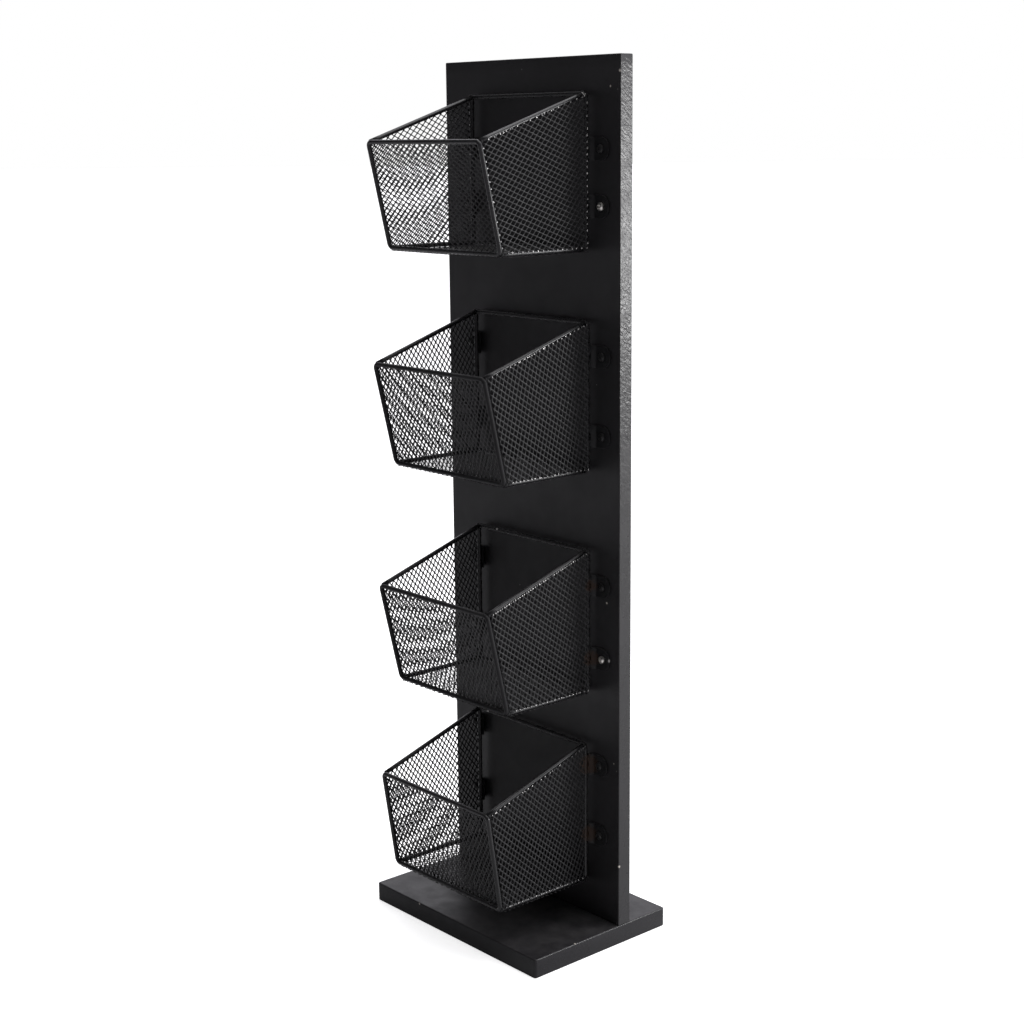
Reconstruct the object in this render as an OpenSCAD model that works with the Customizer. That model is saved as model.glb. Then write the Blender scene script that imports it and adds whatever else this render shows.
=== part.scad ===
// Free-standing holder: an upright board on a base board, with four wire-mesh baskets
// screwed to its front face. Millimetres, +Z up, the baskets face -Y.
// The origin is the centre of the base board's underside.

/* [Base board] */
// Width of the base board, side to side
base_width = 280; // [240:5:340]
// Depth of the base board, front to back
base_depth = 200; // [190:5:260]
// Thickness of the base board
base_thickness = 22; // [18:1:28]
// Radius on the base board's four upright corners
base_corner = 3; // [1:0.5:8]

/* [Upright board] */
// Height of the upright board above the base board
board_height = 950; // [930:10:1100]
// Thickness of the upright board
board_thickness = 18; // [18:1:25]
// Distance from the base's front edge back to the upright's front face
board_setback = 126; // [100:2:140]

/* [Base screws] */
// Number of screws that come up through the base into the upright
base_screw_count = 3; // [2:1:5]
// Distance between neighbouring base screws
base_screw_pitch = 100; // [40:5:100]
// Length of a base screw
base_screw_length = 50; // [40:5:60]
// Diameter of a base screw's shank
base_screw_shank = 4.5; // [4:0.5:6]
// Diameter of a base screw's countersunk head
base_screw_head = 9; // [8:0.5:12]
// Depth of a base screw's head below the base's underside
base_screw_sink = 1; // [0.5:0.5:3]

/* [Baskets] */
// Height of each basket's bottom wire above the base board, lowest basket first
basket_levels = [46, 268, 516, 752]; // [20:1:780]
// Depth of each basket at its bottom wire, lowest basket first
bottom_depths = [127, 118, 118, 118]; // [110:1:130]
// Width of a basket between the centres of its side wires
basket_width = 182; // [150:2:200]
// Depth of a basket at its rim
top_depth = 144; // [135:1:160]
// Height of a basket's back wire above its bottom wire
back_height = 159; // [150:1:175]
// Height of a basket's front rim above its bottom wire
front_height = 112; // [90:1:120]
// Distance each basket sits to the right of the upright's middle, lowest basket first
basket_shifts = [4, 8, 8, 6]; // [-8:1:9]
// Distance from the upright's front face to the centre of the back wires
standoff = 8.4; // [8:0.2:12]

/* [Basket wire and mesh] */
// Diameter of the basket wire
wire_d = 5; // [4:0.5:6]
// Radius of the wire's bends, to its centre
bend_radius = 5; // [4:0.5:8]
// Thickness of the mesh panels
mesh_t = 0.8; // [0.6:0.1:1.5]
// Inner radius of the folds at the mesh sheet's front corners
mesh_fold = 0.6; // [0.4:0.1:2]
// Distance the mesh sides' top and bottom edges stop short of the side rails' centres
mesh_short = 1.3; // [0:0.1:2]

/* [Lugs and lug screws] */
// Height of the upper lugs above each basket's bottom wire, lowest basket first
upper_lugs = [136, 120, 123, 103]; // [95:1:138]
// Height of the lower lugs above each basket's bottom wire, lowest basket first
lower_lugs = [54, 38, 37, 44]; // [25:1:60]
// Height of a lug, twice the radius of its round end
lug_height = 24; // [18:1:30]
// Reach of a lug from the centre of the back post to its tip
lug_reach = 28; // [24:1:32]
// Thickness of a lug's steel strip
lug_t = 2; // [1.5:0.5:2.5]
// Diameter of a lug screw's pan head
lug_screw_head = 9; // [7:0.5:10]
// Height of a lug screw's pan head
lug_screw_head_h = 3; // [2.5:0.5:4]
// Diameter of a lug screw's shank
lug_screw_shank = 4; // [3.5:0.5:5]
// Length of a lug screw below its head
lug_screw_length = 14; // [12:1:16]

/* [Hidden] */
$fn = 48;
// clearance between faces that meet
gap = 0.1;
// radial clearance of a screw in its hole
screw_play = 0.1;

board_y = board_setback - base_depth / 2;
wire_r = wire_d / 2;
half_w = basket_width / 2;
rim_slope = atan((back_height - front_height) / top_depth);
// the side rails meet the middles of the frames' corner bends
rail_x = half_w - bend_radius * (1 - sqrt(0.5));
// the sheet's near and far faces, measured from the centres of the wires it lies against
sheet_near = wire_r + gap;
sheet_far = sheet_near + mesh_t;
lug_r = lug_height / 2;
lug_screw_x = half_w + lug_reach - lug_r;
base_screw_y = board_y + board_thickness / 2;
cut = 400;
BASKETS = [0, 1, 2, 3];

// lean of a basket's front, out from the vertical
function lean(i) = atan((top_depth - bottom_depths[i]) / front_height);
// height of the rim's centre plane at a distance y from the upright, y below zero
function rim_z(y) = back_height + (y + standoff) * tan(rim_slope);
// place of the front wires' centre plane at height z
function front_y(i, z) = -standoff - bottom_depths[i] - z * tan(lean(i));
// the heights of one basket's lugs
function lug_levels(i) = [lower_lugs[i], upper_lugs[i]];

// ---- shared shapes ----

// a rectangle with round corners, centred on the origin
module rounded_plate(width, depth, corner) {
    square([width - 2 * corner, depth], center = true);
    square([width, depth - 2 * corner], center = true);
    for (sx = [-1, 1], sy = [-1, 1])
        translate([sx * (width / 2 - corner), sy * (depth / 2 - corner)])
            circle(corner);
}

// a straight wire from one point to another
module wire(from, to) {
    run = to - from;
    translate(from)
        rotate([0, acos(run[2] / norm(run)), atan2(run[1], run[0])])
            cylinder(h = norm(run), r = wire_r);
}

// a quarter bend of wire about the origin in the XY plane, starting at the given angle
module wire_bend(start) {
    rotate([0, 0, start])
        rotate_extrude(angle = 90)
            translate([bend_radius, 0])
                circle(wire_r);
}

// a closed upright frame of wire in the XZ plane, its bottom run's centre at z = 0
module wire_frame(height) {
    reach_x = half_w - bend_radius;
    for (z = [0, height])
        wire([-reach_x, 0, z], [reach_x, 0, z]);
    for (side = [-1, 1])
        wire([side * half_w, 0, bend_radius], [side * half_w, 0, height - bend_radius]);
    // corners: right top, left top, left bottom, right bottom
    corners = [
        [reach_x, height - bend_radius, 0],
        [-reach_x, height - bend_radius, 90],
        [-reach_x, bend_radius, 180],
        [reach_x, bend_radius, 270]
    ];
    for (c = corners)
        translate([c[0], 0, c[1]])
            rotate([90, 0, 0])
                wire_bend(c[2]);
}

// the space in front of the back frame's wires
module clear_of_back_frame() {
    translate([-cut / 2, -cut - standoff - wire_r - gap / 2, -cut / 2])
        cube([cut, cut, cut]);
}

// stands its children up in the leaning plane of a basket's front wires
module on_front(i) {
    translate([0, front_y(i, 0), 0])
        rotate([lean(i), 0, 0])
            children();
}

// an outline in the YZ plane, given thickness along +X
module side_plate(points, thickness) {
    rotate([90, 0, 90])
        linear_extrude(thickness)
            polygon(points);
}

// the space between the bottom of the sheet and the rim's centre plane
module below_rim() {
    far = -standoff - top_depth - 20;
    translate([-cut / 2, 0, 0])
        side_plate([[0, -wire_r], [0, rim_z(0)], [far, rim_z(far)], [far, -wire_r]], cut);
}

// moves a basket's own frame, on the upright's face at its bottom wire, into place
module at_basket(i) {
    translate([basket_shifts[i], board_y, base_thickness + basket_levels[i]])
        children();
}

// ---- boards and base screws ----

module base_screw_places() {
    for (k = [0 : base_screw_count - 1])
        translate([(k - (base_screw_count - 1) / 2) * base_screw_pitch, base_screw_y, 0])
            children();
}

module base_board() {
    color([0.10, 0.10, 0.11])
    difference() {
        linear_extrude(base_thickness)
            rounded_plate(base_width, base_depth, base_corner);
        base_screw_places() {
            translate([0, 0, -1])
                cylinder(h = base_thickness + 2, d = base_screw_shank + 2 * screw_play);
            translate([0, 0, -1])
                cylinder(h = base_screw_sink + 1 + screw_play, d = base_screw_head + 2 * screw_play);
            translate([0, 0, base_screw_sink])
                cylinder(h = base_screw_head / 2 + screw_play, d1 = base_screw_head + 2 * screw_play, d2 = 0);
        }
    }
}

module base_screws() {
    cone_h = (base_screw_head - base_screw_shank) / 2;
    recess = 1.2;
    color([0.55, 0.55, 0.57])
    base_screw_places()
        translate([0, 0, base_screw_sink])
            difference() {
                union() {
                    cylinder(h = cone_h, d1 = base_screw_head, d2 = base_screw_shank);
                    cylinder(h = base_screw_length, d = base_screw_shank);
                }
                for (turn = [0, 90])
                    rotate([0, 0, turn])
                        translate([-base_screw_shank / 2, -recess / 2, -1])
                            cube([base_screw_shank, recess, 1 + recess]);
            }
}

module upright_board() {
    color([0.08, 0.08, 0.085])
    difference() {
        translate([-base_width / 2, board_y, base_thickness])
            cube([base_width, board_thickness, board_height]);
        base_screw_places()
            translate([0, 0, base_thickness - 1])
                cylinder(h = base_screw_sink + base_screw_length + 2 - base_thickness,
                    d = base_screw_shank + 2 * screw_play);
        for (i = BASKETS)
            at_basket(i)
                for (side = [-1, 1], level = lug_levels(i))
                    translate([side * lug_screw_x, -1, level])
                        rotate([-90, 0, 0])
                            cylinder(h = lug_screw_length + 2 - lug_t, d = lug_screw_shank + 2 * screw_play);
    }
}

// ---- one basket ----

// closed upright frame of wire that stands just off the upright board
module back_frame(i) {
    color([0.12, 0.12, 0.125])
    at_basket(i)
        translate([0, -standoff, 0])
            wire_frame(back_height);
}

// closed frame of wire round the leaning front, outside the mesh
module front_frame(i) {
    color([0.12, 0.12, 0.125])
    at_basket(i)
        on_front(i)
            wire_frame(front_height / cos(lean(i)));
}

// four straight wires from the back frame to the front mesh: two sloping at the rim, two level below
module side_rails(i) {
    color([0.12, 0.12, 0.125])
    at_basket(i)
        intersection() {
            for (side = [-1, 1], ends = [[0, 0], [back_height, front_height]])
                wire([side * rail_x, -standoff, ends[0]],
                    [side * rail_x, front_y(i, ends[1]), ends[1]]);
            clear_of_back_frame();
            on_front(i)
                translate([-cut / 2, sheet_far + mesh_fold / 2, -cut / 2])
                    cube([cut, cut, cut]);
        }
}

// flat side of the mesh sheet, outside the rails, from the back post to the front fold
module mesh_side(i, side) {
    fold_in = (sheet_far + mesh_fold) / cos(lean(i));
    back_y = -standoff - wire_r - gap;
    drop = mesh_short / cos(rim_slope);
    // the front edge meets the sheet's top edge at this distance from the upright
    top_y = (front_y(i, 0) + fold_in - tan(lean(i)) * (back_height - drop + standoff * tan(rim_slope)))
        / (1 + tan(lean(i)) * tan(rim_slope));
    outline = [
        [back_y, mesh_short],
        [back_y, rim_z(back_y) - drop],
        [top_y, rim_z(top_y) - drop],
        [front_y(i, mesh_short) + fold_in, mesh_short]
    ];
    color([0.20, 0.20, 0.205])
    at_basket(i)
        translate([side > 0 ? rail_x + sheet_near : -rail_x - sheet_far, 0, 0])
            side_plate(outline, mesh_t);
}

// leaning front of the mesh sheet, behind the front frame, with the folds at both front corners
module mesh_front(i) {
    flat = 2 * (rail_x + sheet_near - mesh_fold);
    color([0.20, 0.20, 0.205])
    at_basket(i)
        intersection() {
            on_front(i)
                translate([0, 0, -cut / 2])
                    linear_extrude(cut) {
                        translate([-flat / 2, sheet_near])
                            square([flat, mesh_t]);
                        for (side = [-1, 1])
                            translate([side * flat / 2, sheet_far + mesh_fold])
                                intersection() {
                                    difference() {
                                        circle(mesh_fold + mesh_t);
                                        circle(mesh_fold);
                                    }
                                    translate([side > 0 ? 0 : -cut, -cut])
                                        square([cut, cut]);
                                }
                    }
            below_rim();
        }
}

// mesh bottom, under the bottom wires
module mesh_bottom(i) {
    front = front_y(i, 0) - wire_r / 2;
    outer_w = 2 * (rail_x + sheet_far);
    color([0.20, 0.20, 0.205])
    at_basket(i)
        translate([-outer_w / 2, front, -sheet_far])
            linear_extrude(mesh_t) {
                translate([bend_radius, 0])
                    square([outer_w - 2 * bend_radius, bend_radius]);
                translate([0, bend_radius])
                    square([outer_w, wire_r - standoff - front - bend_radius]);
                for (x = [bend_radius, outer_w - bend_radius])
                    translate([x, bend_radius])
                        circle(bend_radius);
            }
}

// one lug: a strip behind the back post that steps back onto the upright, with a round tip
module lug() {
    seat = wire_r - standoff + gap / 2;
    tail = -wire_r - 0.5;
    step_x = wire_r + 0.7;
    step = -seat - lug_t;
    crook = lug_t * tan(22.5);
    profile = [
        [tail, seat],
        [step_x, seat],
        [step_x + step, -lug_t],
        [lug_reach, -lug_t],
        [lug_reach, 0],
        [step_x + step - crook, 0],
        [step_x - crook, seat + lug_t],
        [tail, seat + lug_t]
    ];
    hole_x = lug_reach - lug_r;
    difference() {
        intersection() {
            translate([0, 0, -lug_r])
                linear_extrude(lug_height)
                    polygon(profile);
            translate([0, 1, 0])
                rotate([90, 0, 0])
                    linear_extrude(standoff + 2) {
                        translate([tail, -lug_r])
                            square([hole_x - tail, lug_height]);
                        translate([hole_x, 0])
                            circle(lug_r);
                    }
        }
        translate([hole_x, -lug_t - 1, 0])
            rotate([-90, 0, 0])
                cylinder(h = lug_t + 2, d = lug_screw_shank + 2 * screw_play);
    }
}

module lugs(i) {
    color([0.11, 0.11, 0.115])
    at_basket(i)
        for (level = lug_levels(i)) {
            translate([half_w, 0, level])
                lug();
            translate([-half_w, 0, level])
                mirror([1, 0, 0])
                    lug();
        }
}

// one pan-head screw along +Y, its head's seat at y = 0
module lug_screw() {
    dome_r = (pow(lug_screw_head / 2, 2) + pow(lug_screw_head_h, 2)) / (2 * lug_screw_head_h) + 0.6;
    slot = 1.1;
    rotate([-90, 0, 0]) {
        cylinder(h = lug_screw_length, d = lug_screw_shank);
        difference() {
            intersection() {
                translate([0, 0, -lug_screw_head_h])
                    cylinder(h = lug_screw_head_h, d = lug_screw_head);
                translate([0, 0, dome_r - lug_screw_head_h])
                    sphere(dome_r);
            }
            for (turn = [0, 90])
                rotate([0, 0, turn])
                    translate([-lug_screw_shank / 2, -slot / 2, -lug_screw_head_h - 1])
                        cube([lug_screw_shank, slot, 1 + lug_screw_head_h / 2]);
        }
    }
}

module lug_screws(i) {
    color([0.16, 0.16, 0.165])
    at_basket(i)
        for (side = [-1, 1], level = lug_levels(i))
            translate([side * lug_screw_x, -lug_t, level])
                lug_screw();
}

base_board();
upright_board();
base_screws();
back_frame(0);  // basket_1_back_frame
front_frame(0);  // basket_1_front_frame
side_rails(0);  // basket_1_side_rails
mesh_side(0, -1);  // basket_1_mesh_left
mesh_side(0, 1);  // basket_1_mesh_right
mesh_front(0);  // basket_1_mesh_front
mesh_bottom(0);  // basket_1_mesh_bottom
lugs(0);  // basket_1_lugs
lug_screws(0);  // basket_1_lug_screws
back_frame(1);  // basket_2_back_frame
front_frame(1);  // basket_2_front_frame
side_rails(1);  // basket_2_side_rails
mesh_side(1, -1);  // basket_2_mesh_left
mesh_side(1, 1);  // basket_2_mesh_right
mesh_front(1);  // basket_2_mesh_front
mesh_bottom(1);  // basket_2_mesh_bottom
lugs(1);  // basket_2_lugs
lug_screws(1);  // basket_2_lug_screws
back_frame(2);  // basket_3_back_frame
front_frame(2);  // basket_3_front_frame
side_rails(2);  // basket_3_side_rails
mesh_side(2, -1);  // basket_3_mesh_left
mesh_side(2, 1);  // basket_3_mesh_right
mesh_front(2);  // basket_3_mesh_front
mesh_bottom(2);  // basket_3_mesh_bottom
lugs(2);  // basket_3_lugs
lug_screws(2);  // basket_3_lug_screws
back_frame(3);  // basket_4_back_frame
front_frame(3);  // basket_4_front_frame
side_rails(3);  // basket_4_side_rails
mesh_side(3, -1);  // basket_4_mesh_left
mesh_side(3, 1);  // basket_4_mesh_right
mesh_front(3);  // basket_4_mesh_front
mesh_bottom(3);  // basket_4_mesh_bottom
lugs(3);  // basket_4_lugs
lug_screws(3);  // basket_4_lug_screws
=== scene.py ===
import math
from types import SimpleNamespace

import bmesh
import bpy
from mathutils import Matrix, Vector, noise


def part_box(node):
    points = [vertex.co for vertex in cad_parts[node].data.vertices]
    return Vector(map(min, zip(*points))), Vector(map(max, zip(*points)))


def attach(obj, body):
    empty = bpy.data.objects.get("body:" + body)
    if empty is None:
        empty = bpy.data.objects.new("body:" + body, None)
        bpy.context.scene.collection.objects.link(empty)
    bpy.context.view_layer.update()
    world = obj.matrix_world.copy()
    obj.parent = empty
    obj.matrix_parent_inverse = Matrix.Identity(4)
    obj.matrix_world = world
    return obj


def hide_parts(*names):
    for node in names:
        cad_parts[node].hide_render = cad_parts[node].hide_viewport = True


# Looks of a free-standing black stand: an upright board on a base board, with four
# open-backed wire-mesh baskets screwed to its front. Metres, +Z up, baskets face -Y.

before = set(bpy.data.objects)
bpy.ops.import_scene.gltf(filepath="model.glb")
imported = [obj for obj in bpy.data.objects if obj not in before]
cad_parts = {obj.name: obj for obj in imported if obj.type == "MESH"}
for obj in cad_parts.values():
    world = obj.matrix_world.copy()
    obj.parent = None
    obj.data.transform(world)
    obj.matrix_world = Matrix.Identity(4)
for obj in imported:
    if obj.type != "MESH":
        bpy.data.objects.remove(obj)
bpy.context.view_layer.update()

noise.seed_set(1)   # without a seed, noise_vector starts from the time of day

MM = 0.001
BODY = "root"
BASKET_NUMBERS = (1, 2, 3, 4)

# ---- sizes that the CAD boxes do not hold ----

WIRE_BEND = 5 * MM            # centre radius of the bends in the basket wire
SHEET_GAP = 0.1 * MM          # coating between a wire and the mesh sheet
SHEET_THICK = 0.8 * MM        # thickness of the mesh sheet
LUG_THICK = 2 * MM
LUG_TIP = 12 * MM             # radius of a lug's round end
SCREW_HEAD = 4.5 * MM         # radius of a lug screw's head
SCREW_HEAD_RISE = 3 * MM
BOARD_EASE = 1.3 * MM         # rounding on the boards' long edges
FLAT_MARGIN = 0.5 * MM        # flat strip that a rounding runs into
BASE_SCREW_COUNT = 3
BASE_SCREW_SHANK = 2.25 * MM  # radius
SCREW_PLAY = 0.1 * MM         # clearance of a base screw in the base
SHEET_FOLD = 1.6 * MM         # mid radius of the sheet's front folds
SHEET_SHORT = 1.3 * MM        # how far the sheet's sides stop short of the rails' centres
BASE_CORNER = 3 * MM          # radius of the base board's upright corners
UPRIGHT_CORNER = 0.9 * MM
LUG_HOLE = 2.1 * MM           # radius
LUG_TAIL = 0.5 * MM           # how far a lug reaches in past its post
LUG_EASE = 0.25 * MM          # rounding of its edges
STEP_CLEAR = 0.7 * MM         # flat stretch between its post and its step
CROWN_EDGE = 0.37             # height of a screw head's crown at its rim, as a share of its middle
RECESS_HALF_WIDTH = 0.62 * MM   # cross recess of a lug screw
RECESS_REACH = 2.3 * MM
RECESS_DEPTH = 1.3 * MM
RECESS_RUN_OUT = 3.2 * MM     # distance from the middle at which its sloping floor would come out
SEAM = 1e-7                   # points this near each other are one point
ROUND_STEPS = 72              # points round a lug or a screw head
BOARD_SHARP = 40              # degrees from which a board's edge stays sharp
METAL_SHARP = 35              # the same for lugs and screws

# the mesh: openings stand upright, staggered by half a pitch
PITCH_ACROSS = 6.5 * MM
PITCH_ALONG = 9.0 * MM
# width of a strand with its coating, by basket
STRAND = {1: 1.42 * MM, 2: 1.3 * MM, 3: 1.24 * MM, 4: 0.98 * MM}
STRAND_THICK = 0.44 * MM
STRAND_TILT = -0.10 * MM      # how far a strand's edges stand out of the sheet
TIP_RADIUS = 0.95 * MM        # a strand's end pressed flat on a wire
TIP_THICK = 0.45 * MM         # half its thickness
TIP_OUT = 0.25 * MM           # how far its middle stands out of the sheet
# degrees the openings lean within each sheet; the top basket's sheet was cut the other way
MESH_TURN = {1: 4.0, 2: 5.0, 3: 8.0, 4: 92.0}
STRAY_POINTS = 60             # a smaller bit of mesh than this hangs on nothing
BUCKLE = 0.6 * MM             # unevenness of the sheet round the sides
BUCKLE_SCALE = 18
SAG = 0.7 * MM                # unevenness of the sheet at the bottom
SAG_SCALE = 14
BACK_SWELL_RUN = 9 * MM       # distance over which the sheet swells out towards the back posts
CURL_LIMIT = 2.2              # radians that a sheet goes round a back post
ROLLED_BACK = (2, 3, 4)       # baskets whose sheet is rolled round the back posts
DULL_FRONT = (2, 3)           # baskets whose front frame has a duller coating


# ---- measuring the CAD frame ----

def measure_basket(number):
    """Sizes and places of one basket, in metres, from its CAD nodes."""
    name = f"basket_{number}"
    back_lo, back_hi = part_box(name + "_back_frame")
    front_lo, front_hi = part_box(name + "_front_frame")
    rails_lo, rails_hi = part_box(name + "_side_rails")
    lug_lo, lug_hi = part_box(name + "_lugs")
    screw_lo, screw_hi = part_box(name + "_lug_screws")
    wire = (back_hi.y - back_lo.y) / 2
    b = SimpleNamespace(name=name, number=number, wire=wire)
    b.mid = (back_lo.x + back_hi.x) / 2
    b.half = (back_hi.x - back_lo.x) / 2 - wire
    b.back_y = (back_lo.y + back_hi.y) / 2
    b.floor_z = back_lo.z + wire
    b.back_z = back_hi.z - wire
    b.rim_y = front_lo.y + wire
    b.rim_z = front_hi.z - wire
    b.low_y = front_hi.y - wire
    b.rail = (rails_hi.x - rails_lo.x) / 2 - wire
    b.lean = math.atan2(b.low_y - b.rim_y, b.rim_z - b.floor_z)
    b.slope = math.atan2(b.back_z - b.rim_z, b.back_y - b.rim_y)
    b.lug_levels = (lug_lo.z + LUG_TIP, lug_hi.z - LUG_TIP)
    b.lug_reach = lug_hi.x - b.mid - b.half
    b.screw_x = (screw_hi.x - screw_lo.x) / 2 - SCREW_HEAD
    return b


baskets = [measure_basket(n) for n in BASKET_NUMBERS]
base_lo, base_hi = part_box("base_board")
upright_lo, upright_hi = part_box("upright_board")
board_y = upright_lo.y
base_top = base_hi.z


# ---- gathering meshes ----

class Form:
    """Points and faces gathered from several shapes into one piece.
    With seams, points at the same place are joined and open backs are closed."""

    def __init__(self, seams=False):
        self.seams = seams
        self.points = []
        self.faces = []
        self.slots = []

    def add(self, points, faces, slot=0):
        first = len(self.points)
        self.points.extend(tuple(p) for p in points)
        self.faces.extend(tuple(first + i for i in face) for face in faces)
        self.slots.extend([slot] * len(faces))

    def piece(self, name, materials, slot, replaced=()):
        mesh = bpy.data.meshes.new(name)
        mesh.from_pydata(self.points, [], self.faces)
        mesh.validate()
        for material in materials:
            mesh.materials.append(material)
        mesh.polygons.foreach_set("material_index", self.slots[:len(mesh.polygons)])
        mesh.polygons.foreach_set("use_smooth", [True] * len(mesh.polygons))
        shape = bmesh.new()
        shape.from_mesh(mesh)
        if self.seams:
            bmesh.ops.remove_doubles(shape, verts=shape.verts, dist=SEAM)
            bmesh.ops.edgeloop_fill(shape, edges=[e for e in shape.edges if e.is_boundary])
        bmesh.ops.recalc_face_normals(shape, faces=shape.faces)
        shape.to_mesh(mesh)
        shape.free()
        return place_piece(bpy.data.objects.new(name, mesh), replaced)


def band(low, high, count):
    """Faces between two rings of points, given each ring's first point."""
    return [(low + k, low + (k + 1) % count, high + (k + 1) % count, high + k) for k in range(count)]


def close_stack(shape, rings):
    """Makes a closed solid of rings of points that lie above each other."""
    for lower, upper in zip(rings, rings[1:]):
        for k in range(len(lower)):
            n = (k + 1) % len(lower)
            shape.faces.new((lower[k], lower[n], upper[n], upper[k]))
    shape.faces.new(rings[0][::-1])
    shape.faces.new(rings[-1])


def place_piece(thing, replaced=()):
    """Puts a finished object into the scene on its body, and hides the CAD parts that it replaces."""
    bpy.context.scene.collection.objects.link(thing)
    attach(thing, BODY)
    if replaced:
        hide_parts(*replaced)
    return thing


def sharpen(thing, degrees):
    """Smooth shading that keeps edges sharper than the given angle."""
    mesh = thing.data
    shape = bmesh.new()
    shape.from_mesh(mesh)
    for edge in shape.edges:
        if edge.is_manifold and edge.calc_face_angle(0) > math.radians(degrees):
            edge.smooth = False
    shape.to_mesh(mesh)
    shape.free()


# ---- wire ----

def bent_path(corners, bend, straight_step=12 * MM, bend_step=math.radians(10)):
    """Points along a closed wire that turns each corner with the same bend radius."""
    corners = [Vector(c) for c in corners]
    path = []
    for k, corner in enumerate(corners):
        into = (corner - corners[k - 1]).normalized()
        out = (corners[(k + 1) % len(corners)] - corner).normalized()
        turn = into.angle(out)
        start = corner - into * bend * math.tan(turn / 2)
        inward = (out - into * into.dot(out)).normalized()
        steps = max(2, math.ceil(turn / bend_step))
        for s in range(steps + 1):
            a = turn * s / steps
            path.append(start + into * bend * math.sin(a) + inward * bend * (1 - math.cos(a)))
    filled = []
    for here, there in zip(path, path[1:] + path[:1]):
        pieces = max(1, round((there - here).length / straight_step))
        filled.extend(here.lerp(there, s / pieces) for s in range(pieces))
    return filled


def add_wire(form, path, radius, closed=False, sides=20, wander=0.12 * MM):
    """Sweeps a round wire along a path; drawn wire is never quite straight or even."""
    count = len(path)
    tangents = []
    for k in range(count):
        before = path[k - 1] if closed or k else path[k]
        after = path[(k + 1) % count] if closed or k < count - 1 else path[k]
        tangents.append((after - before).normalized())
    side = tangents[0].orthogonal().normalized()
    points = []
    for k, (centre, tangent) in enumerate(zip(path, tangents)):
        side = (side - tangent * side.dot(tangent)).normalized()
        up = tangent.cross(side)
        drift = noise.noise_vector(centre * 14) * wander
        for s in range(sides):
            a = 2 * math.pi * s / sides
            swell = 1 + 0.012 * noise.noise(centre * 160 + Vector((0, 0, a)))
            points.append(centre + drift + (side * math.cos(a) + up * math.sin(a)) * radius * swell)
    faces = []
    for k in range(count if closed else count - 1):
        faces += band(k * sides, (k + 1) % count * sides, sides)
    if not closed:
        faces.append(tuple(range(sides - 1, -1, -1)))
        faces.append(tuple(range((count - 1) * sides, count * sides)))
    form.add(points, faces)


def add_weld(form, centre, reach, radius, rings=7, sides=10):
    """A small lumpy weld bead, longest along the reach vector."""
    centre, reach = Vector(centre), Vector(reach)
    axis = reach.normalized()
    side = axis.orthogonal().normalized()
    up = axis.cross(side)
    points = [centre - reach]
    for r in range(1, rings):
        a = math.pi * r / rings
        for s in range(sides):
            b = 2 * math.pi * s / sides
            out = side * math.cos(b) + up * math.sin(b)
            spot = centre - reach * math.cos(a) + out * radius * math.sin(a)
            lump = 1 + 0.22 * noise.noise(spot * 900)
            points.append(centre + (spot - centre) * lump)
    points.append(centre + reach)
    faces = [(0, 1 + (s + 1) % sides, 1 + s) for s in range(sides)]
    for r in range(rings - 2):
        faces += band(1 + r * sides, 1 + (r + 1) * sides, sides)
    last = 1 + (rings - 2) * sides
    faces.extend((last + s, last + (s + 1) % sides, len(points) - 1) for s in range(sides))
    form.add(points, faces)


# ---- expanded mesh ----

def opening_outline(strand):
    """Twelve points round one opening, in metres, anticlockwise from the right."""
    half_across, half_along = PITCH_ACROSS / 2, PITCH_ALONG / 2
    strand_run = math.hypot(half_across, half_along)
    wide = half_across - strand / 2 * strand_run / half_along
    tall = half_along - strand / 2 * strand_run / half_across
    side_cut, end_cut = 0.26, 0.17
    quarter = [
        (wide * (1 - side_cut * 0.42), 0.0),
        (wide * (1 - side_cut), tall * side_cut),
        (wide * end_cut, tall * (1 - end_cut)),
        (0.0, tall * (1 - end_cut * 0.35)),
    ]
    top = quarter + [(-x, y) for x, y in reversed(quarter[:3])]
    bottom = [(-x, -y) for x, y in top[1:-1]]
    return top + bottom


def mesh_cells(u_range, v_range, turn):
    """Centres of the openings that fill a rectangle of the flat sheet, in staggered rows."""
    spin = Matrix.Rotation(math.radians(turn), 2)
    reach = math.hypot(max(map(abs, u_range)), max(map(abs, v_range))) + 2 * PITCH_ALONG
    columns = math.ceil(reach / PITCH_ACROSS)
    rows = math.ceil(reach / PITCH_ALONG * 2)
    cells = {}
    for j in range(-rows, rows + 1):
        for i in range(-columns, columns + 1):
            flat = Vector(((i + (j % 2) / 2) * PITCH_ACROSS, j * PITCH_ALONG / 2))
            u, v = spin @ flat
            if u_range[0] <= u <= u_range[1] and v_range[0] <= v <= v_range[1]:
                cells[(2 * i + j % 2, j)] = (u, v)
    return cells, spin


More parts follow.
